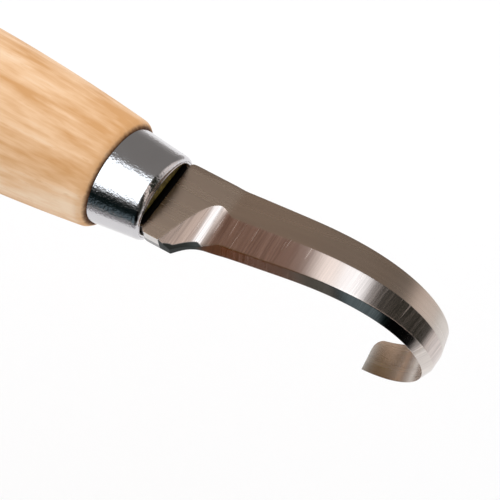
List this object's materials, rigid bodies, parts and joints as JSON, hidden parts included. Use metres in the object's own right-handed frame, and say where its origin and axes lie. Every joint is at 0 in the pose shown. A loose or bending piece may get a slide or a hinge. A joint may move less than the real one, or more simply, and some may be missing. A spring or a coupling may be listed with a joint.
{
  "type": "hook knife",
  "caption": "Hook knife for hollowing bowls and spoons: a ground steel strip curled into a hook, set in an oval wooden handle behind a polished metal ferrule.",
  "frame": {"origin": "centre of the handle's flat butt face", "axes": "+X along the handle to the blade, +Y towards the blade's spine, +Z towards the bevelled outer side; the hook curls to -Z"},
  "size_m": [0.1636, 0.028, 0.0282],
  "materials": {
    "blade_steel": "satin lengthwise brushing, cross-ground bevels",
    "ferrule_plating": "bright plating, faintly dimpled",
    "handle_wood": "smooth oiled birch",
    "bedding_adhesive": "dull cured adhesive"
  },
  "bodies": {
    "root": {"blade": "blade_steel", "ferrule": "ferrule_plating", "handle": "handle_wood", "tang_bedding": "bedding_adhesive"}
  },
  "joints": []
}
